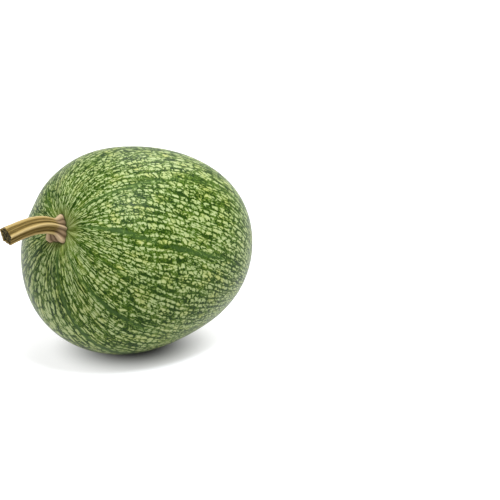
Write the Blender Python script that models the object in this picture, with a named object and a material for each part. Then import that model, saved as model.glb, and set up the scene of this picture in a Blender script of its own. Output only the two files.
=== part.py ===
"""A whole fig-leaf gourd with its dried stem, as picked, lying on its side.

Metres, +Z up. The stem end points along -X. The origin is the middle of the small flat
on the underside, on which the gourd rests.
"""

import math

import bmesh
import bpy
from mathutils import Vector

# The fruit, measured from its middle
MIDDLE_ABOVE_FLAT = Vector((0.0070, -0.0015, 0.0975))
HALF_LENGTH = 0.1148
HALF_WIDTH = 0.0955
HALF_HEIGHT = 0.0988
FULLNESS = 2.144  # 2 gives an ellipsoid, and more gives fuller shoulders
STEM_END_SWELL = 0.048  # the stem end is wider than the middle by this share
AXIS_RISE = math.radians(4.0)  # the stem end lies a little higher

# Broad swellings and flat places: azimuth and elevation in degrees, and share of the radius
SWELLING_SPREAD = 0.45
SWELLINGS = (
    (-25.0, 28.0, 0.022),
    (119.0, 54.0, 0.014),
    (139.0, 19.0, -0.0455),
    (145.0, 0.0, -0.0046),
    (171.0, -54.0, 0.0145),
    (-59.0, -51.0, -0.033),
)

# The two ends that the skin's ribs run between, and the line that the ribs stand round:
# azimuth and elevation from the middle. Neither end is quite on that line, and the middle
# of the stem's foot is a little off its end.
STEM_POLE = (198.9, 24.2)
STEM_FOOT = (196.3, 23.4)
BLOSSOM_POLE = (-19.0, -23.0)
RIB_LINE = (172.0, 3.0)

# Relief of the skin: heights in metres, and widths in radians from an end
DIMPLE_DEPTH = 0.0045
DIMPLE_WIDTH = 0.17
RIB_COUNT = 10
RIB_HEIGHT = 0.0005
RIB_PEAK = 0.55
SCAR_DEPTH = 0.0025
SCAR_WIDTH = 0.13
BUTTON_HEIGHT = 0.0022
BUTTON_WIDTH = 0.055

# The fruit's mesh
FRUIT_SEGMENTS = 80
FRUIT_RINGS = 36
RING_CROWDING = 0.55  # how far the rings are drawn towards both ends

# The stem's middle line, a cubic curve from the skin to the cut, and how far it starts below
STEM_LINE = (
    Vector((0.0, 0.0, 0.0)),
    Vector((-0.0189, -0.0115, 0.0138)),
    Vector((-0.0365, -0.0149, 0.0138)),
    Vector((-0.0589, -0.0175, 0.0087)),
)
ROOT_START = -0.10
NECK_RADIUS = 0.0064
CUT_RADIUS = 0.0080
RIDGE_DEPTH = 0.0007
FINE_RIDGE_DEPTH = 0.0005
RIDGE_WIND = math.radians(12.0)  # how far the ridges wind round from foot to cut
CUT_RECESS = 0.0012
CUT_RIM = 0.80  # the dished part of the cut, as a share of its radius

# The foot: toes spread over the skin, and each runs on as a ridge of the stem
FIRST_TOE = math.radians(90.0)
TOE_REACHES = (0.0044, -0.0014, 0.0038, 0.0042, 0.0040)
TOE_WIDTH = 0.55
FOOT_FLARE = 0.0022
FOOT_LEVEL = -0.0005
FOOT_HEIGHT = 0.0055

# The stem's mesh
STEM_SEGMENTS = 40
STEM_RINGS = 26
SEAM_GAP = 0.0003  # clearance between the foot and the skin

SKIN_COLOUR = (0.10, 0.22, 0.05, 1.0)
SKIN_ROUGHNESS = 0.35
STEM_COLOUR = (0.42, 0.28, 0.12, 1.0)
STEM_ROUGHNESS = 0.75
SHARP_ANGLE = math.radians(40.0)


def direction(azimuth, elevation):
    """The unit vector at these angles in degrees."""
    turned = math.radians(azimuth)
    raised = math.radians(elevation)
    level = math.cos(raised)
    return Vector((math.cos(turned) * level, math.sin(turned) * level, math.sin(raised)))


LONG_AXIS = Vector((-math.cos(AXIS_RISE), 0.0, math.sin(AXIS_RISE)))
SIDE_AXIS = Vector((0.0, 1.0, 0.0))
UP_AXIS = SIDE_AXIS.cross(LONG_AXIS)
STEM_WAY = direction(*STEM_POLE)
BLOSSOM_WAY = direction(*BLOSSOM_POLE)

# Each end leans off the rib line by its own amount
RIB_AXIS = direction(*RIB_LINE)
STEM_LEAN = STEM_WAY / STEM_WAY.dot(RIB_AXIS) - RIB_AXIS
BLOSSOM_LEAN = RIB_AXIS - BLOSSOM_WAY / BLOSSOM_WAY.dot(RIB_AXIS)
RIB_UP = (UP_AXIS - RIB_AXIS * UP_AXIS.dot(RIB_AXIS)).normalized()
RIB_SIDE = RIB_AXIS.cross(RIB_UP)


def skin_way(from_stem, around):
    """Direction of a skin point: its angle from the stem end, on the meridian at around."""
    across = RIB_UP * math.cos(around) + RIB_SIDE * math.sin(around)
    straight = RIB_AXIS * math.cos(from_stem) + across * math.sin(from_stem)
    nearness = (1.0 + math.cos(from_stem)) / 2.0
    lean = STEM_LEAN * nearness + BLOSSOM_LEAN * (1.0 - nearness)
    return (straight + lean).normalized()


def smooth_radius(way):
    """Distance from the middle to the skin in this direction, without its relief."""
    along = way.dot(LONG_AXIS)
    swell = 1.0 + STEM_END_SWELL * along
    up = way.dot(UP_AXIS) / (HALF_HEIGHT * swell)
    side = way.dot(SIDE_AXIS) / (HALF_WIDTH * swell)
    total = abs(along / HALF_LENGTH) ** FULLNESS + math.hypot(up, side) ** FULLNESS
    radius = total ** (-1.0 / FULLNESS)
    for azimuth, elevation, share in SWELLINGS:
        apart = way.angle(direction(azimuth, elevation))
        radius *= 1.0 + share * math.exp(-((apart / SWELLING_SPREAD) ** 2))
    return radius


def bump(distance, width):
    """A smooth bump, 1 at no distance."""
    return math.exp(-((distance / width) ** 2))


def relief(from_stem, around):
    """Height of the ribs, the stem's dimple and the flower's scar over the smooth skin."""
    from_blossom = math.pi - from_stem
    rib_fade = (from_stem / RIB_PEAK) ** 2 * math.exp(1.0 - (from_stem / RIB_PEAK) ** 2)
    return (
        RIB_HEIGHT * math.cos(RIB_COUNT * around) * rib_fade
        - DIMPLE_DEPTH * bump(from_stem, DIMPLE_WIDTH)
        - SCAR_DEPTH * bump(from_blossom, SCAR_WIDTH)
        + BUTTON_HEIGHT * bump(from_blossom, BUTTON_WIDTH)
    )


def skin_point(from_stem, around, grow):
    """A point of the skin, or of the surface that lies this far outside it."""
    way = skin_way(from_stem, around)
    return way * (smooth_radius(way) + relief(from_stem, around) + grow)


def fruit_mesh(grow=0.0):
    """A sphere drawn out to the skin, with its poles at the fruit's two ends."""
    mesh = bmesh.new()
    bmesh.ops.create_uvsphere(
        mesh, u_segments=FRUIT_SEGMENTS, v_segments=FRUIT_RINGS, radius=1.0
    )
    for vertex in mesh.verts:
        even = math.atan2(math.hypot(vertex.co.x, vertex.co.y), vertex.co.z)
        from_stem = even - RING_CROWDING / 2.0 * math.sin(2.0 * even)
        around = math.atan2(vertex.co.y, vertex.co.x)
        vertex.co = skin_point(from_stem, around, grow)
    return mesh


def cut_resting_flat(mesh):
    """Cuts the underside level, and closes the cut with one flat face."""
    cut = bmesh.ops.bisect_plane(
        mesh,
        geom=mesh.verts[:] + mesh.edges[:] + mesh.faces[:],
        plane_co=-MIDDLE_ABOVE_FLAT,
        plane_no=(0.0, 0.0, 1.0),
        clear_inner=True,
    )
    rim = [item for item in cut["geom_cut"] if isinstance(item, bmesh.types.BMEdge)]
    bmesh.ops.holes_fill(mesh, edges=rim)


def stem_middle(t):
    """A point of the stem's middle line, from 0 at the skin to 1 at the cut."""
    weights = ((1.0 - t) ** 3, 3.0 * t * (1.0 - t) ** 2, 3.0 * t**2 * (1.0 - t), t**3)
    return sum((point * weight for point, weight in zip(STEM_LINE, weights)), Vector())


def stem_way(t):
    """The direction of the stem's middle line."""
    weights = ((1.0 - t) ** 2, 2.0 * t * (1.0 - t), t**2)
    legs = [end - start for start, end in zip(STEM_LINE, STEM_LINE[1:])]
    return sum((leg * weight for leg, weight in zip(legs, weights)), Vector()).normalized()


def stem_radius(t, turn):
    """Distance from the middle line to the bark: toes at the foot, and ridges along it."""
    height = math.copysign(stem_middle(t).length, t)
    foot = bump(max(0.0, height - FOOT_LEVEL), FOOT_HEIGHT)
    step = 2.0 * math.pi / len(TOE_REACHES)
    turned = turn - FIRST_TOE - RIDGE_WIND * t
    radius = NECK_RADIUS + (CUT_RADIUS - NECK_RADIUS) * t + FOOT_FLARE * foot
    radius += RIDGE_DEPTH * math.cos(len(TOE_REACHES) * turned)
    radius += FINE_RIDGE_DEPTH * math.cos(2 * len(TOE_REACHES) * turned)
    for k, reach in enumerate(TOE_REACHES):
        apart = math.remainder(turned - k * step, 2.0 * math.pi)
        radius += reach * bump(apart, TOE_WIDTH) * foot
    return radius


def stem_ring(t, share=1.0, recess=0.0):
    """The stem's outline across its middle line, or this share of it, set back by recess."""
    way = stem_way(t)
    side = way.cross(Vector((0.0, 0.0, 1.0))).normalized()
    up = side.cross(way)
    centre = stem_middle(t) - way * recess
    points = []
    for k in range(STEM_SEGMENTS):
        turn = 2.0 * math.pi * k / STEM_SEGMENTS
        out = side * math.cos(turn) + up * math.sin(turn)
        points.append(centre + out * stem_radius(t, turn) * share)
    return points


def stem_mesh():
    """Rings drawn out along the middle line, from below the skin to the dished cut."""
    rings = []
    for k in range(STEM_RINGS + 1):
        t = ROOT_START + (1.0 - ROOT_START) * (k / STEM_RINGS) ** 1.3
        rings.append(stem_ring(t))
    rings.append(stem_ring(1.0, share=CUT_RIM, recess=CUT_RECESS))
    mesh = bmesh.new()
    first = bmesh.ops.create_circle(
        mesh, cap_ends=True, segments=STEM_SEGMENTS, radius=1.0
    )["verts"]
    for vertex, point in zip(first, rings[0]):
        vertex.co = point
    edges = mesh.edges[:]
    for ring in rings[1:]:
        drawn = bmesh.ops.extrude_edge_only(mesh, edges=edges)["geom"]
        edges = [item for item in drawn if isinstance(item, bmesh.types.BMEdge)]
        verts = [item for item in drawn if isinstance(item, bmesh.types.BMVert)]
        for vertex, point in zip(verts, ring):
            vertex.co = point
    bmesh.ops.contextual_create(mesh, geom=edges)
    return mesh


def finish(name, colour, roughness):
    """A plain material."""
    made = bpy.data.materials.new(name)
    made.use_nodes = True
    shader = made.node_tree.nodes["Principled BSDF"]
    shader.inputs["Base Color"].default_value = colour
    shader.inputs["Roughness"].default_value = roughness
    shader.inputs["Metallic"].default_value = 0.0
    return made


def add_object(name, mesh, location, material=None, parent=None):
    """Puts a closed mesh in the scene, shaded smooth, at its place on its parent."""
    mesh.normal_update()
    bmesh.ops.recalc_face_normals(mesh, faces=mesh.faces)
    data = bpy.data.meshes.new(name)
    mesh.to_mesh(data)
    mesh.free()
    data.shade_smooth()
    data.set_sharp_from_angle(angle=SHARP_ANGLE)
    if material:
        data.materials.append(material)
    made = bpy.data.objects.new(name, data)
    bpy.context.scene.collection.objects.link(made)
    made.location = location
    made.parent = parent
    return made


def make_gourd():
    mesh = fruit_mesh()
    cut_resting_flat(mesh)
    skin = finish("skin", SKIN_COLOUR, SKIN_ROUGHNESS)
    return add_object("gourd", mesh, MIDDLE_ABOVE_FLAT, skin)


def make_seat_cutter(gourd):
    """The fruit grown by the seam's gap, which shapes the underside of the stem's foot."""
    cutter = add_object("seat_cutter", fruit_mesh(SEAM_GAP), Vector(), parent=gourd)
    cutter.hide_render = True
    cutter.display_type = "WIRE"
    return cutter


def make_stem(gourd, cutter):
    bark = finish("bark", STEM_COLOUR, STEM_ROUGHNESS)
    foot_way = direction(*STEM_FOOT)
    seat = foot_way * smooth_radius(foot_way)
    stem = add_object("stem", stem_mesh(), seat, bark, gourd)
    trim = stem.modifiers.new("seat on the skin", "BOOLEAN")
    trim.operation = "DIFFERENCE"
    trim.solver = "EXACT"
    trim.object = cutter
    return stem


def main():
    for old in list(bpy.data.objects):
        bpy.data.objects.remove(old, do_unlink=True)
    gourd = make_gourd()
    cutter = make_seat_cutter(gourd)
    make_stem(gourd, cutter)


main()
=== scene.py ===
"""The looks of a whole fig-leaf gourd with its dried stem, lying on its side on a pale floor.

Metres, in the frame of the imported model: +Z up, the stem end towards -X, and the origin in the
middle of the small flat on which the gourd rests. Directions from the fruit's middle are given
as azimuth and elevation in degrees.
"""

import math

import bpy
import numpy as np
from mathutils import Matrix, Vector


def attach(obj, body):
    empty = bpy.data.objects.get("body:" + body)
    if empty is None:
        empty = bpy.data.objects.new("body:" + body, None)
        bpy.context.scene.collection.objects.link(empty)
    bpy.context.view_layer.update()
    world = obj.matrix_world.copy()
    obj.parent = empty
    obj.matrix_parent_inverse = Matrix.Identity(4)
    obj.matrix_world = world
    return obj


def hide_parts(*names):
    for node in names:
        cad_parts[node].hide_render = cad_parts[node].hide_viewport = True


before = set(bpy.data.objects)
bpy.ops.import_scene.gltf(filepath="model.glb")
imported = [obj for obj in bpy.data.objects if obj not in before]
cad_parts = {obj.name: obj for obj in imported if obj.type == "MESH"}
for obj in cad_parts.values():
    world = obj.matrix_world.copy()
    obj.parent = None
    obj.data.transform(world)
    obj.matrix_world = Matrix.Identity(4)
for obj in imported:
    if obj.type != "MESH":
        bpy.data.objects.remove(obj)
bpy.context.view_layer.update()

# The fruit, measured from its middle, as in the model
MIDDLE_ABOVE_FLAT = np.array((0.0070, -0.0015, 0.0975))
HALF_LENGTH = 0.1148
HALF_WIDTH = 0.0955
HALF_HEIGHT = 0.0988
FULLNESS = 2.144
STEM_END_SWELL = 0.048
AXIS_RISE = math.radians(4.0)
STEM_POLE = (198.9, 24.2)
STEM_FOOT = (196.3, 23.4)
BLOSSOM_POLE = (-19.0, -23.0)
RIB_LINE = (172.0, 3.0)
MEAN_RADIUS = 0.1

# Swellings and hollows of the fruit: azimuth, elevation and share of the radius
SWELLING_SPREAD = 0.45
SWELLINGS = (
    (-25.0, 28.0, 0.022),
    (119.0, 54.0, 0.014),
    (139.0, 19.0, -0.0455),
    (145.0, 0.0, -0.0046),
    (171.0, -54.0, 0.0145),
    (-59.0, -51.0, -0.033),
)

# Relief of the skin: heights in metres, and widths in radians from an end
DIMPLE_DEPTH = 0.0045
DIMPLE_WIDTH = 0.17
RIB_COUNT = 10
RIB_HEIGHT = 0.0005
RIB_PEAK = 0.55
SCAR_DEPTH = 0.0025
SCAR_WIDTH = 0.13
BUTTON_HEIGHT = 0.0022
BUTTON_WIDTH = 0.055

# The fruit's mesh
FRUIT_SEGMENTS = 360
FRUIT_RINGS = 220
RING_CROWDING = 0.55

# The mottling: cells round the fruit, the length of one, and how near the stem they are drawn out
CELLS_ROUND = 92
CELL_LENGTH = 0.0068
STREAK_LENGTH = 0.42
CELL_RANDOMNESS = 0.85
GRAIN_BEND = math.radians(2.0)
GRAIN_SEED = 11

# Dark lines a cell: times CELLS_ROUND it is a whole number, so that they meet at the seam
LINES_A_CELL = 0.75

# The shrinking along the fruit that draws a noise out into streaks
DRAWN_OUT = (1.0, 1.0, 0.16)

# Dark bands from end to end: where round the fruit in degrees, half width in degrees, strength
BANDS = (
    (-18.0, 3.0, 0.75),
    (-42.0, 3.5, 0.35),
    (-68.0, 3.0, 1.0),
    (-104.0, 3.5, 0.4),
    (-141.0, 3.5, 0.85),
    (-178.0, 3.0, 0.5),
    (146.0, 3.5, 0.8),
    (108.0, 3.0, 0.6),
    (66.0, 3.5, 0.9),
    (24.0, 3.0, 0.45),
)
BAND_DRIFT = math.radians(4.0)
BAND_DRIFT_SEED = 70
BAND_MEAN = 0.8
BAND_SWING = 0.35
BAND_SWING_SEED = 90

# The stem, as in the model
STEM_LINE = (
    np.array((0.0, 0.0, 0.0)),
    np.array((-0.0189, -0.0115, 0.0138)),
    np.array((-0.0365, -0.0149, 0.0138)),
    np.array((-0.0589, -0.0175, 0.0087)),
)
ROOT_START = -0.10
NECK_RADIUS = 0.0064
CUT_RADIUS = 0.0080
RIDGE_DEPTH = 0.0007
FINE_RIDGE_DEPTH = 0.0005
RIDGE_WIND = math.radians(12.0)
CUT_RECESS = 0.0012
CUT_RIM = 0.80
FIRST_TOE = math.radians(90.0)
TOE_REACHES = (0.0044, -0.0014, 0.0038, 0.0042, 0.0040)
TOES = len(TOE_REACHES)
TOE_WIDTH = 0.55
FOOT_FLARE = 0.0022
FOOT_LEVEL = -0.0005
FOOT_HEIGHT = 0.0055

# The shade on the skin round the stem's foot: its width, and how far from the stem it is sought
FOOT_SHADE_WIDTH = 0.0016
FOOT_SHADE_REACH = 0.04

# The bark's finest relief, and the size of the space through which its noises run
FIBRE_HEIGHT = 0.00010
FIBRE_SEED = 31
CUT_ROUGHNESS = 0.0004
CUT_SEED = 41
FIBRE_RADIUS = 9.0
FIBRE_LENGTH = 2.5

# The bark's crests: the mean, and the shares of the ridges and of the fine ridges
CREST_MEAN = 0.5
CREST_RIDGES = 0.29
CREST_FINE_RIDGES = 0.21

# What the material reads on the cut in place of a crest and a height over the skin
CUT_CREST = 0.7
CUT_HEIGHT = 0.06

# The stem's mesh
STEM_SEGMENTS = 180
STEM_RINGS = 150
STEM_CROWDING = 1.3
CUT_RINGS = 14

# Colours at rising tones, each a tone and a colour
MOTTLE_COLOURS = (
    (0.12, (0.008, 0.025, 0.001)),
    (0.24, (0.034, 0.071, 0.003)),
    (0.36, (0.083, 0.132, 0.021)),
    (0.48, (0.150, 0.206, 0.066)),
    (0.60, (0.214, 0.269, 0.105)),
    (0.74, (0.262, 0.308, 0.132)),
    (0.92, (0.294, 0.334, 0.155)),
)
CORK_COLOURS = (
    (0.15, (0.05, 0.03, 0.012)),
    (0.60, (0.34, 0.25, 0.13)),
)
BARK_COLOURS = (
    (0.08, (0.040, 0.025, 0.004)),
    (0.28, (0.105, 0.068, 0.015)),
    (0.48, (0.220, 0.152, 0.046)),
    (0.68, (0.300, 0.213, 0.080)),
    (0.92, (0.345, 0.256, 0.112)),
)
FOOT_COLOURS = (
    (0.22, (0.070, 0.042, 0.022)),
    (0.46, (0.215, 0.145, 0.090)),
    (0.90, (0.340, 0.245, 0.155)),
)
PITH_COLOURS = (
    (0.40, (0.004, 0.003, 0.001)),
    (0.54, (0.042, 0.032, 0.008)),
    (0.66, (0.200, 0.155, 0.045)),
)

# Single colours
WARM_TINT = (0.57, 0.49, 0.22)
BAND_COLOUR = (0.073, 0.130, 0.034)
STEM_END_COLOUR = (0.16, 0.19, 0.035)
FOOT_SHADE_COLOUR = (0.022, 0.020, 0.006)
FLOOR_COLOUR = (0.40, 0.40, 0.405, 1.0)
WHITE = (1.0, 1.0, 1.0, 1.0)

# The camera, from the fruit's middle
CAMERA_AT = Vector((-0.67561, -1.15268, 0.43186))
CAMERA_LOOK = Vector((0.545558, 0.779022, -0.309017))
SENSOR_MM = 36.0
LENS_MM = 104.83

# The floor: half its side, and how far it lies below the flat
FLOOR_REACH = 12.0
FLOOR_DROP = 0.0003

# The floor's painted glow, which rises away from the fruit and leaves a painted shadow on the spot
# under it: its strength, and the distances over which it rises
PAINTED_FLOOR_GLOW = 0.75
FLOOR_GLOW_FROM = 0.022
FLOOR_GLOW_TO = 0.085

# Soft lights: name, direction from the fruit's middle, distance, size, watts and colour
SOFT_LIGHTS = (
    ("side", (-0.85, -0.15, 0.20), 1.7, 1.2, 3.0, (0.97, 0.99, 1.0)),
    ("window", (-0.04, -0.44, 0.90), 1.5, 0.30, 27.0, (0.88, 0.94, 1.0)),
    ("behind", (0.50, 0.45, 0.74), 1.7, 0.90, 11.0, (1.0, 0.98, 1.0)),
)

# The broad light from far above: its direction, its width as an angle, strength and colour
KEY_WAY = (0.22, -0.24, 0.95)
KEY_WIDTH = math.radians(45.0)
KEY_STRENGTH = 1.9
KEY_COLOUR = (0.97, 0.99, 1.0)

# The surrounding: its strength at the horizon and above, and the rises between which it changes
HORIZON_STRENGTH = 0.98
SKY_STRENGTH = 0.57
SKY_FADE_FROM = 0.06
SKY_FADE_TO = 0.30


def direction(azimuth, elevation):
    """The unit vector at these angles in degrees."""
    turned = math.radians(azimuth)
    raised = math.radians(elevation)
    level = math.cos(raised)
    return np.array((math.cos(turned) * level, math.sin(turned) * level, math.sin(raised)))


def unit(vectors):
    """These vectors at length 1."""
    return vectors / np.linalg.norm(vectors, axis=-1, keepdims=True)


LONG_AXIS = np.array((-math.cos(AXIS_RISE), 0.0, math.sin(AXIS_RISE)))
SIDE_AXIS = np.array((0.0, 1.0, 0.0))
UP_AXIS = np.cross(SIDE_AXIS, LONG_AXIS)
STEM_WAY = direction(*STEM_POLE)
BLOSSOM_WAY = direction(*BLOSSOM_POLE)
RIB_AXIS = direction(*RIB_LINE)
STEM_LEAN = STEM_WAY / STEM_WAY.dot(RIB_AXIS) - RIB_AXIS
BLOSSOM_LEAN = RIB_AXIS - BLOSSOM_WAY / BLOSSOM_WAY.dot(RIB_AXIS)
RIB_UP = unit(UP_AXIS - RIB_AXIS * UP_AXIS.dot(RIB_AXIS))
RIB_SIDE = np.cross(RIB_AXIS, RIB_UP)


def skin_way(from_stem, around):
    """Directions of skin points: their angles from the stem end, on the meridians at around."""
    across = np.multiply.outer(np.cos(around), RIB_UP) + np.multiply.outer(np.sin(around), RIB_SIDE)
    near = np.cos(from_stem)[..., None]
    straight = RIB_AXIS * near + across * np.sin(from_stem)[..., None]
    nearness = (1.0 + near) / 2.0
    return unit(straight + STEM_LEAN * nearness + BLOSSOM_LEAN * (1.0 - nearness))


def smooth_radius(way):
    """Distance from the middle to the skin in these directions, without its relief."""
    along = way @ LONG_AXIS
    swell = 1.0 + STEM_END_SWELL * along
    up = way @ UP_AXIS / (HALF_HEIGHT * swell)
    side = way @ SIDE_AXIS / (HALF_WIDTH * swell)
    total = np.abs(along / HALF_LENGTH) ** FULLNESS + np.hypot(up, side) ** FULLNESS
    radius = total ** (-1.0 / FULLNESS)
    for azimuth, elevation, share in SWELLINGS:
        apart = np.arccos(np.clip(way @ direction(azimuth, elevation), -1.0, 1.0))
        radius = radius * (1.0 + share * bump(apart, SWELLING_SPREAD))
    return radius


def bump(distance, width):
    """A smooth bump, 1 at no distance."""
    return np.exp(-((distance / width) ** 2))


def skin_relief(from_stem, around):
    """Height of the ribs, the stem's dimple and the flower's scar over the smooth skin."""
    from_blossom = math.pi - from_stem
    rib_fade = (from_stem / RIB_PEAK) ** 2 * np.exp(1.0 - (from_stem / RIB_PEAK) ** 2)
    return (
        RIB_HEIGHT * np.cos(RIB_COUNT * around) * rib_fade
        - DIMPLE_DEPTH * bump(from_stem, DIMPLE_WIDTH)
        - SCAR_DEPTH * bump(from_blossom, SCAR_WIDTH)
        + BUTTON_HEIGHT * bump(from_blossom, BUTTON_WIDTH)
    )


def waves(seed, count, first, second, most_first, most_second):
    """A smooth random field, mostly between -1 and 1: a seeded sum of waves of two quantities."""
    draws = np.random.default_rng(seed)
    total = 0.0
    for _ in range(count):
        rate_first = draws.integers(-most_first, most_first + 1)
        rate_second = draws.uniform(-most_second, most_second)
        phase = draws.uniform(0.0, 2.0 * math.pi)
        total = total + np.sin(rate_first * first + rate_second * second + phase)
    return total / math.sqrt(count)


def lathe_mesh(name, rings, first, last):
    """A closed mesh through rings of points (rings, segments, 3), with a point at each end."""
    count, segments = rings.shape[:2]
    points = np.concatenate((rings.reshape(-1, 3), [first], [last]))
    start, end = len(points) - 2, len(points) - 1
    last_ring = (count - 1) * segments
    faces = []
    for k in range(segments):
        after = (k + 1) % segments
        faces.append((start, k, after))
        faces.append((end, last_ring + after, last_ring + k))
        for ring in range(count - 1):
            low = ring * segments
            faces.append((low + k, low + segments + k, low + segments + after, low + after))
    mesh = bpy.data.meshes.new(name)
    mesh.from_pydata(points.tolist(), [], faces)
    mesh.shade_smooth()
    return mesh


def mark(mesh, name, values):
    """Keeps a number or a vector for each point of the mesh, for its material to read."""
    kind, field = ("FLOAT", "value") if values.ndim == 1 else ("FLOAT_VECTOR", "vector")
    made = mesh.attributes.new(name, kind, "POINT")
    made.data.foreach_set(field, values.astype(np.float32).ravel())


def with_ends(grid, first, last):
    """A quantity on a grid of rings, as one row with its values at the two end points."""
    return np.concatenate((grid.reshape(-1, *grid.shape[2:]), [first], [last]))


def add_piece(mesh, material, node):
    """Puts a mesh in the scene in place of the model's node."""
    mesh.materials.append(material)
    piece = bpy.data.objects.new(mesh.name, mesh)
    bpy.context.scene.collection.objects.link(piece)
    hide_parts(node)
    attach(piece, "root")


class Recipe:
    """A material's nodes, added and linked one after another."""

    def __init__(self, name):
        self.material = bpy.data.materials.new(name)
        self.material.use_nodes = True
        self.tree = self.material.node_tree
        self.shader = self.tree.nodes["Principled BSDF"]

    def add(self, kind, out, inputs, **settings):
        """Adds a node with these settings and inputs, and gives its output of that name."""
        node = self.tree.nodes.new(kind)
        for name, value in settings.items():
            setattr(node, name, value)
        for name, value in inputs.items():
            self.fill(node.inputs[name], value)
        return node.outputs[out]

    def fill(self, socket, value):
        """Links another node's output to this socket, or else sets it to a constant."""
        if isinstance(value, bpy.types.NodeSocket):
            self.tree.links.new(value, socket)
        else:
            socket.default_value = value

    def fill_colour(self, socket, colour):
        """The same for a colour, which as a constant has three parts."""
        linked = isinstance(colour, bpy.types.NodeSocket)
        self.fill(socket, colour if linked else (*colour, 1.0))

    def finish(self, **inputs):
        """Sets the shader's own inputs, whose names have underscores here for spaces."""
        for name, value in inputs.items():
            self.fill(self.shader.inputs[name.replace("_", " ")], value)
        return self.material

    def stored(self, name, out="Fac"):
        """What the mesh keeps for its points under this name."""
        return self.add("ShaderNodeAttribute", out, {}, attribute_name=name)

    def calculate(self, operation, first, second=0.0):
        return self.add("ShaderNodeMath", "Value", {0: first, 1: second}, operation=operation)

    def times(self, first, second):
        return self.calculate("MULTIPLY", first, second)

    def plus(self, *values):
        total = values[0]
        for value in values[1:]:
            total = self.calculate("ADD", total, value)
        return total

    def vector(self, operation, first, second):
        inputs = {0: first, 1: second}
        return self.add("ShaderNodeVectorMath", "Vector", inputs, operation=operation)

    def part(self, vector, axis):
        """One part of a vector, by the name of its axis."""
        return self.add("ShaderNodeSeparateXYZ", axis, {0: vector})

    def noise(self, place, scale, detail=2.0, roughness=0.5, out="Fac"):
        inputs = {"Vector": place, "Scale": scale, "Detail": detail, "Roughness": roughness}
        return self.add("ShaderNodeTexNoise", out, inputs)

    def centred_noise(self, place, scale, detail=2.0, roughness=0.5):
        """A noise round zero."""
        return self.plus(self.noise(place, scale, detail, roughness), -0.5)

    def shifts(self, place, scale, amount, detail):
        """Small moves in all directions, from a noise."""
        centred = self.vector("SUBTRACT", self.noise(place, scale, detail, out="Color"), (0.5,) * 3)
        return self.vector("MULTIPLY", centred, (amount,) * 3)

    def cells(self, place, out="Distance", feature="F1"):
        """Cells of about the size 1 on a flat place."""
        inputs = {"Vector": place, "Scale": 1.0, "Randomness": CELL_RANDOMNESS}
        settings = {"feature": feature, "voronoi_dimensions": "2D"}
        return self.add("ShaderNodeTexVoronoi", out, inputs, **settings)

    def between(self, value, low, high, start=0.0, end=1.0):
        """Start where the value is low, end where it is high, and smooth between."""
        inputs = {"Value": value, "From Min": low, "From Max": high, "To Min": start, "To Max": end}
        return self.add("ShaderNodeMapRange", "Result", inputs, interpolation_type="SMOOTHSTEP")

    def ramp(self, value, stops):
        """Colours at rising values, each stop a value and a colour."""
        node = self.tree.nodes.new("ShaderNodeValToRGB")
        self.fill(node.inputs["Fac"], value)
        marks = node.color_ramp.elements
        while len(marks) < len(stops):
            marks.new(0.5)
        for element, (position, colour) in zip(marks, stops):
            element.position = position
            element.color = (*colour, 1.0)
        return node.outputs["Color"]

    def blend(self, share, first, second, blend_type="MIX"):
        """The first colour, and the second one where share is 1."""
        node = self.tree.nodes.new("ShaderNodeMix")
        node.data_type = "RGBA"
        node.blend_type = blend_type
        # The node has sockets for every kind of data: these are the colours' own
        self.fill(node.inputs[0], share)
        self.fill_colour(node.inputs[6], first)
        self.fill_colour(node.inputs[7], second)
        return node.outputs[2]

    def relief(self, height, distance, strength):
        """Shading as of a surface with these heights."""
        inputs = {"Height": height, "Distance": distance, "Strength": strength}
        return self.add("ShaderNodeBump", "Normal", inputs)


def cell_place(rind, grain):
    """The place on the skin laid flat, in cells round the fruit and along it, and a little bent.

    With it comes the number of cells from there to the seam of the flat place, underneath.
    """
    turn = rind.calculate("ARCTAN2", rind.part(grain, "Y"), rind.part(grain, "X"))
    around = rind.times(turn, CELLS_ROUND / (2.0 * math.pi))
    from_seam = rind.calculate("SUBTRACT", CELLS_ROUND / 2.0, rind.calculate("ABSOLUTE", around))
    inputs = {"X": around, "Y": rind.part(grain, "Z")}
    flat = rind.add("ShaderNodeCombineXYZ", "Vector", inputs)
    broad_shifts = rind.shifts(grain, 0.7, 0.9, 2.0)
    fine_shifts = rind.shifts(grain, 2.2, 0.80, 3.0)
    shifts = rind.vector("ADD", broad_shifts, fine_shifts)
    return rind.vector("ADD", flat, shifts), from_seam


def dark_band(rind, from_seam, ragged):
    """Where a dark band runs, with ragged sides: also over the seam, which it hides."""
    over_seam = rind.between(from_seam, 0.3, 0.9, 1.0, 0.0)
    band = rind.calculate("MAXIMUM", rind.stored("band"), over_seam)
    torn = rind.times(band, rind.plus(rind.times(ragged, 4.0), 1.0))
    return rind.between(torn, 0.30, 0.85)


def pale_net(rind, place, drawn_out, ragged, band):
    """Pale cells between dark lines: 1 in a cell, and about 0 on the lines round it."""
    wander = rind.times(rind.noise(drawn_out, 0.45, detail=3.0, roughness=0.6), 4.0)
    across = rind.times(rind.part(place, "X"), LINES_A_CELL)
    lines = rind.calculate("PINGPONG", rind.plus(across, wander), 0.5)
    lines = rind.between(rind.plus(lines, ragged), 0.06, 0.36)
    edges = rind.plus(
        rind.cells(place, feature="DISTANCE_TO_EDGE"),
        rind.times(rind.cells(place), -0.30),
        rind.times(ragged, 1.3),
    )
    edges = rind.between(edges, -0.14, 0.16, 0.04)
    return rind.times(rind.times(lines, edges), rind.between(band, 0.0, 1.0, 1.0, 0.5))


def stem_tufts(rind, from_stem, drawn_out):
    """Streaks by the stem: fine ones, and broad ones right at its foot."""
    near_stem = rind.between(from_stem, 0.010, 0.045, 1.5, 0.0)
    by_foot = rind.between(from_stem, 0.008, 0.026, 2.0, 0.0)
    fine = rind.times(rind.centred_noise(drawn_out, 0.55), near_stem)
    broad = rind.times(rind.centred_noise(drawn_out, 0.22), by_foot)
    return fine, broad


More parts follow.
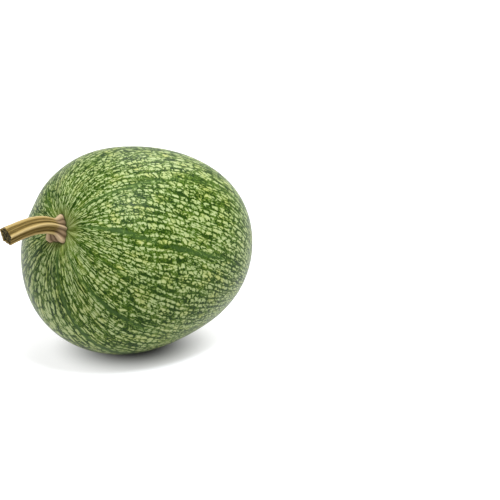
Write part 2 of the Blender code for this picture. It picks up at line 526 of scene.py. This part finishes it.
def rind_colour(rind, grain, pale, cell_hue, band, from_stem):
    """The mottling's colours: warmer in places, cooler in a band, yellower at the stem's end."""
    colour = rind.ramp(pale, MOTTLE_COLOURS)
    warm_patches = rind.between(rind.noise(grain, 0.35, detail=3.0), 0.46, 0.68, 0.0, 0.40)
    warm_cells = rind.between(cell_hue, 0.5, 1.0, 0.0, 0.25)
    colour = rind.blend(rind.plus(warm_patches, warm_cells), colour, WARM_TINT, "SOFT_LIGHT")
    colour = rind.blend(rind.times(band, 0.35), colour, BAND_COLOUR)
    stem_end = rind.between(from_stem, 0.012, 0.030, 0.35, 0.0)
    colour = rind.blend(stem_end, colour, STEM_END_COLOUR)
    return rind.blend(rind.times(rind.stored("foot_shade"), 0.85), colour, FOOT_SHADE_COLOUR)


def with_scar(rind, grain, colour):
    """The same colour, with the flower's small corky scar at the far end."""
    from_blossom = rind.stored("from_blossom")
    corky = rind.noise(grain, 0.9, detail=4.0)
    edge = rind.plus(from_blossom, rind.times(corky, 0.010))
    scar = rind.between(edge, 0.0110, 0.0130, 1.0, 0.0)
    paler_outside = rind.between(from_blossom, 0.0010, 0.0045, -0.3, 0.1)
    tone = rind.plus(rind.times(corky, 0.8), paler_outside)
    return rind.blend(scar, colour, rind.ramp(tone, CORK_COLOURS))


def rind_material():
    """Dark green, thickly flecked with pale yellow-green, in rows from the stem to the far end."""
    rind = Recipe("gourd_rind")
    grain = rind.stored("grain", "Vector")
    from_stem = rind.stored("from_stem")
    drawn_out = rind.vector("MULTIPLY", grain, DRAWN_OUT)
    ragged = rind.centred_noise(grain, 2.2, detail=5.0, roughness=0.75)
    place, from_seam = cell_place(rind, grain)
    band = dark_band(rind, from_seam, ragged)
    net = pale_net(rind, place, drawn_out, ragged, band)
    cell_colour = rind.cells(place, "Color")
    cell_shade = rind.add("ShaderNodeSeparateColor", "Red", {"Color": cell_colour})
    cell_hue = rind.add("ShaderNodeSeparateColor", "Green", {"Color": cell_colour})
    grains = rind.noise(grain, 4.0, detail=3.0, roughness=0.6)
    rows = rind.noise(drawn_out, 1.1, detail=2.0, roughness=0.6)
    patches = rind.noise(grain, 0.25, detail=2.0)
    pale = rind.plus(
        rind.times(net, 0.62),
        rind.times(cell_shade, 0.20),
        rind.times(grains, 0.86),
        rind.times(rows, 0.14),
        rind.times(patches, 0.04),
        *stem_tufts(rind, from_stem, drawn_out),
        rind.times(band, -0.15),
        -0.455,
    )
    colour = rind_colour(rind, grain, pale, cell_hue, band, from_stem)
    pores = rind.noise(grain, 6.0, detail=4.0)
    height = rind.plus(rind.times(pale, 0.5), rind.times(pores, 0.5))
    return rind.finish(
        Base_Color=with_scar(rind, grain, colour),
        Roughness=0.32,
        Specular_IOR_Level=0.06,
        Normal=rind.relief(height, 0.00035, 0.6),
    )


def band_strength(from_stem, around):
    """How much of a dark band runs at each point of the skin, from 0 to 1."""
    total = np.zeros(around.shape)
    for k, (middle, half_width, strength) in enumerate(BANDS):
        drift = BAND_DRIFT * waves(BAND_DRIFT_SEED + k, 4, around, from_stem, 0, 4.0)
        swing = BAND_SWING * waves(BAND_SWING_SEED + k, 4, around, from_stem, 0, 6.0)
        turned = around - math.radians(middle) - drift
        apart = np.arctan2(np.sin(turned), np.cos(turned))
        total = total + strength * (BAND_MEAN + swing) * bump(apart, math.radians(half_width))
    return np.clip(total, 0.0, 1.0)


def grain_place(from_stem, around):
    """Where a point of the skin lies in the space of the mottling, which has cells of size 1."""
    radius = CELLS_ROUND / (2.0 * math.pi)
    turn = around + GRAIN_BEND * waves(GRAIN_SEED, 12, around, from_stem, 5, 5.0)
    along = from_stem**2 / (from_stem + STREAK_LENGTH) * MEAN_RADIUS / CELL_LENGTH
    return np.stack((np.cos(turn) * radius, np.sin(turn) * radius, along), axis=-1)


def rest_on(points):
    """The points, with those that would be under the floor lifted onto it."""
    points[..., 2] = np.maximum(points[..., 2], 0.0)
    return points


def make_rind():
    """The fruit's skin, finer than the model's, with what its material reads."""
    even = np.linspace(0.0, math.pi, FRUIT_RINGS + 2)[1:-1, None]
    crowded = even - RING_CROWDING / 2.0 * np.sin(2.0 * even)
    turns = np.arange(FRUIT_SEGMENTS) * 2.0 * math.pi / FRUIT_SEGMENTS
    from_stem, around = np.broadcast_arrays(crowded, turns)
    ways = skin_way(from_stem, around)
    radius = smooth_radius(ways) + skin_relief(from_stem, around)
    points = rest_on(ways * radius[..., None] + MIDDLE_ABOVE_FLAT)
    ends = [
        way * (smooth_radius(way) + skin_relief(angle, 0.0))
        for way, angle in ((STEM_WAY, 0.0), (BLOSSOM_WAY, math.pi))
    ]
    ends = rest_on(np.array(ends) + MIDDLE_ABOVE_FLAT)
    mesh = lathe_mesh("gourd_rind", points, *ends)
    length = from_stem * MEAN_RADIUS
    far = math.pi * MEAN_RADIUS
    grain_ends = (0.0, 0.0, 0.0), (0.0, 0.0, far / CELL_LENGTH)
    mark(mesh, "grain", with_ends(grain_place(from_stem, around), *grain_ends))
    mark(mesh, "band", with_ends(band_strength(from_stem, around), 0.0, 0.0))
    mark(mesh, "foot_shade", with_ends(foot_shade(points), 1.0, 0.0))
    mark(mesh, "from_stem", with_ends(length, 0.0, far))
    mark(mesh, "from_blossom", with_ends(far - length, far, 0.0))
    add_piece(mesh, rind_material(), "gourd")


def stem_seat():
    """The point of the skin from which the stem grows."""
    foot_way = direction(*STEM_FOOT)
    return foot_way * smooth_radius(foot_way) + MIDDLE_ABOVE_FLAT


def stem_middle(t):
    """Points of the stem's middle line from its seat, from 0 at the skin to 1 at the cut."""
    t = t[..., None]
    weights = ((1.0 - t) ** 3, 3.0 * t * (1.0 - t) ** 2, 3.0 * t**2 * (1.0 - t), t**3)
    return sum(weight * point for weight, point in zip(weights, STEM_LINE))


def stem_way(t):
    """The direction of the stem's middle line."""
    t = t[..., None]
    weights = ((1.0 - t) ** 2, 2.0 * t * (1.0 - t), t**2)
    legs = [end - start for start, end in zip(STEM_LINE, STEM_LINE[1:])]
    return unit(sum(weight * leg for weight, leg in zip(weights, legs)))


def stem_sides(way):
    """Two directions square to the stem's: a level one and the one above it."""
    side = unit(np.cross(way, (0.0, 0.0, 1.0)))
    return side, np.cross(side, way)


def from_first_toe(t, turn):
    """The turn round the stem from the ridge of its first toe, which winds along it."""
    return turn - FIRST_TOE - RIDGE_WIND * t


def stem_crest(t, turn):
    """How far a point of the bark stands out on a ridge: 1 on a crest, 0 in a groove."""
    turned = from_first_toe(t, turn)
    ridges = CREST_RIDGES * np.cos(TOES * turned)
    return CREST_MEAN + ridges + CREST_FINE_RIDGES * np.cos(2 * TOES * turned)


def stem_radius(t, turn):
    """Distance from the middle line to the bark: toes at the foot, ridges and fibres along it."""
    height = np.copysign(np.linalg.norm(stem_middle(t), axis=-1), t)
    foot = bump(np.maximum(0.0, height - FOOT_LEVEL), FOOT_HEIGHT)
    turned = from_first_toe(t, turn)
    radius = NECK_RADIUS + (CUT_RADIUS - NECK_RADIUS) * t + FOOT_FLARE * foot
    radius = radius + RIDGE_DEPTH * np.cos(TOES * turned)
    radius = radius + FINE_RIDGE_DEPTH * np.cos(2 * TOES * turned)
    for k, reach in enumerate(TOE_REACHES):
        from_toe = turned - k * (2.0 * math.pi / TOES)
        apart = np.remainder(from_toe + math.pi, 2.0 * math.pi) - math.pi
        radius = radius + reach * bump(apart, TOE_WIDTH) * foot
    return radius + FIBRE_HEIGHT * waves(FIBRE_SEED, 10, turned, t, 40, 6.0)


def foot_shade(points):
    """The shade by the stem's foot on these points of the skin: 1 where they meet."""
    side, up = stem_sides(stem_way(np.array(0.0)))
    off = points - stem_seat()
    turn = np.arctan2(off @ up, off @ side)
    apart = np.hypot(off @ up, off @ side) - stem_radius(np.zeros(turn.shape), turn)
    near = np.linalg.norm(off, axis=-1) < FOOT_SHADE_REACH
    return near * bump(np.maximum(0.0, apart), FOOT_SHADE_WIDTH)


def bark_material():
    """Dry straw-brown bark, pale on its ridges and dark in its grooves, and a dark cut."""
    bark = Recipe("gourd_stem")
    fibre = bark.stored("fibre", "Vector")
    crest = bark.stored("crest")
    strands = bark.noise(fibre, 1.0, detail=4.0, roughness=0.6)
    fine = bark.noise(fibre, 3.0, detail=4.0, roughness=0.6)
    tone = bark.plus(
        bark.times(crest, 0.98),
        bark.times(strands, 0.85),
        bark.times(fine, 0.45),
        -0.69,
    )
    foot_tone = bark.plus(crest, bark.times(strands, 0.30), -0.15)
    foot = bark.between(bark.stored("height"), 0.005, 0.013, 0.80, 0.0)
    colour = bark.blend(foot, bark.ramp(tone, BARK_COLOURS), bark.ramp(foot_tone, FOOT_COLOURS))
    rim = bark.times(bark.noise(fibre, 0.9, detail=3.0), -0.24)
    cut = bark.between(bark.plus(bark.stored("cut"), rim), -0.04, 0.04)
    pith = bark.ramp(bark.noise(fibre, 0.7, detail=3.0), PITH_COLOURS)
    depth = bark.plus(strands, bark.times(fine, 0.6))
    return bark.finish(
        Base_Color=bark.blend(cut, colour, pith),
        Roughness=0.72,
        Specular_IOR_Level=0.10,
        Normal=bark.relief(depth, 0.0006, 0.8),
    )


def cut_recess(share, turn):
    """How far the cut lies below its rim, as a rough dish: share is 1 at the bark and 0 inside."""
    dish = CUT_RECESS * np.clip((1.0 - share) / (1.0 - CUT_RIM), 0.0, 1.0)
    rough = CUT_ROUGHNESS * waves(CUT_SEED, 14, turn, FIBRE_RADIUS * share, 7, 2.5)
    return dish + rough * (1.0 - share)


def fibre_place(share, turn, t):
    """Where a point lies in the space of the bark's noises, which run along the stem."""
    radius = FIBRE_RADIUS * share
    return np.stack((np.cos(turn) * radius, np.sin(turn) * radius, FIBRE_LENGTH * t), axis=-1)


def make_stem():
    """The ridged stem, from below the skin to its dished, rough cut."""
    steps = np.linspace(0.0, 1.0, STEM_RINGS + 1)[:, None]
    turns = np.arange(STEM_SEGMENTS) * 2.0 * math.pi / STEM_SEGMENTS
    t, turn = np.broadcast_arrays(ROOT_START + (1.0 - ROOT_START) * steps**STEM_CROWDING, turns)
    way = stem_way(t)
    side, up = stem_sides(way)
    out = side * np.cos(turn)[..., None] + up * np.sin(turn)[..., None]
    radius = stem_radius(t, turn)
    seat = stem_seat()
    bark = stem_middle(t) + out * radius[..., None] + seat

    inwards = np.linspace(1.0, 0.0, CUT_RINGS + 2)[1:-1, None]
    share, cut_turn = np.broadcast_arrays(inwards, turns)
    centre = stem_middle(t[-1:]) - way[-1:] * cut_recess(share, cut_turn)[..., None]
    cut = centre + out[-1:] * (radius[-1:] * share)[..., None] + seat

    root = stem_middle(t[0, 0]) + seat
    tip = stem_middle(t[-1, 0]) - way[-1, 0] * CUT_RECESS + seat
    mesh = lathe_mesh("gourd_stem", np.concatenate((bark, cut)), root, tip)

    height = np.linalg.norm(stem_middle(t), axis=-1)
    all_along = np.ones(share.shape)
    fibre = fibre_place(1.0, turn, t)
    cut_fibre = fibre_place(share, cut_turn, all_along)
    fibre_ends = (0.0, 0.0, 0.0), (0.0, 0.0, FIBRE_LENGTH)
    crest = stem_crest(t, turn)
    for name, on_bark, on_cut, ends in (
        ("crest", crest, CUT_CREST * all_along, (CREST_MEAN, CREST_MEAN)),
        ("fibre", fibre, cut_fibre, fibre_ends),
        ("height", height, CUT_HEIGHT * all_along, (0.0, CUT_HEIGHT)),
        ("cut", np.zeros(t.shape), 1.0 - share, (0.0, 1.0)),
    ):
        mark(mesh, name, with_ends(np.concatenate((on_bark, on_cut)), *ends))
    add_piece(mesh, bark_material(), "stem")


def floor_material():
    """Plain, pale and matt, with a painted glow but for the spot under the fruit, which is left as a
    painted shadow.
    """
    floor = Recipe("floor")
    place = floor.add("ShaderNodeTexCoord", "Object", {})
    apart = floor.add("ShaderNodeVectorMath", "Value", {0: place}, operation="LENGTH")
    return floor.finish(
        Base_Color=FLOOR_COLOUR,
        Roughness=0.9,
        Specular_IOR_Level=0.1,
        Emission_Color=WHITE,
        # painted glow of the floor, 0 on the spot under the fruit so that a painted shadow stays
        # there
        Emission_Strength=floor.between(apart, FLOOR_GLOW_FROM, FLOOR_GLOW_TO, 0.0, PAINTED_FLOOR_GLOW),
    )


def make_floor():
    """A wide, plain floor, a hair below the flat on which the gourd rests."""
    reach = FLOOR_REACH
    corners = [(-reach, -reach, 0.0), (reach, -reach, 0.0), (reach, reach, 0.0), (-reach, reach, 0.0)]
    mesh = bpy.data.meshes.new("floor")
    mesh.from_pydata(corners, [], [(0, 1, 2, 3)])
    mesh.materials.append(floor_material())
    floor = bpy.data.objects.new("floor", mesh)
    floor.location.z = -FLOOR_DROP
    bpy.context.scene.collection.objects.link(floor)


def place_lamp(lamp, way, distance):
    """Puts a lamp in this direction from the fruit's middle, and turns it to face that."""
    light = bpy.data.objects.new(lamp.name, lamp)
    aim = Vector(way).normalized()
    light.location = Vector(MIDDLE_ABOVE_FLAT) + aim * distance
    light.rotation_euler = aim.to_track_quat("Z", "Y").to_euler()
    bpy.context.scene.collection.objects.link(light)


def make_lights():
    """Square soft lights from the side, in front and behind, and a broad one from above."""
    for name, way, distance, size, watts, colour in SOFT_LIGHTS:
        lamp = bpy.data.lights.new(name, "AREA")
        lamp.shape = "SQUARE"
        lamp.size = size
        lamp.energy = watts
        lamp.color = colour
        place_lamp(lamp, way, distance)
    key = bpy.data.lights.new("key", "SUN")
    key.energy = KEY_STRENGTH
    key.angle = KEY_WIDTH
    key.color = KEY_COLOUR
    place_lamp(key, KEY_WAY, 1.0)


def make_surrounding():
    """A white surrounding, which is strongest at the horizon."""
    world = bpy.data.worlds.new("pale surrounding")
    world.use_nodes = True
    tree = world.node_tree
    place = tree.nodes.new("ShaderNodeTexCoord")
    axes = tree.nodes.new("ShaderNodeSeparateXYZ")
    fade = tree.nodes.new("ShaderNodeMapRange")
    fade.inputs["From Min"].default_value = SKY_FADE_FROM
    fade.inputs["From Max"].default_value = SKY_FADE_TO
    fade.inputs["To Min"].default_value = HORIZON_STRENGTH
    fade.inputs["To Max"].default_value = SKY_STRENGTH
    background = tree.nodes["Background"]
    background.inputs["Color"].default_value = WHITE
    tree.links.new(place.outputs["Generated"], axes.inputs[0])
    tree.links.new(axes.outputs["Z"], fade.inputs["Value"])
    tree.links.new(fade.outputs["Result"], background.inputs["Strength"])
    bpy.context.scene.world = world


def make_camera():
    """The photograph's view: from the stem's side, and a little above."""
    lens = bpy.data.cameras.new("camera")
    lens.sensor_width = SENSOR_MM
    lens.lens = LENS_MM
    camera = bpy.data.objects.new("camera", lens)
    camera.location = CAMERA_AT + Vector(MIDDLE_ABOVE_FLAT)
    camera.rotation_euler = CAMERA_LOOK.to_track_quat("-Z", "Y").to_euler()
    bpy.context.scene.collection.objects.link(camera)
    bpy.context.scene.camera = camera


make_camera()
make_rind()
make_stem()
make_floor()
make_lights()
make_surrounding()
bpy.context.scene.view_settings.view_transform = "Standard"
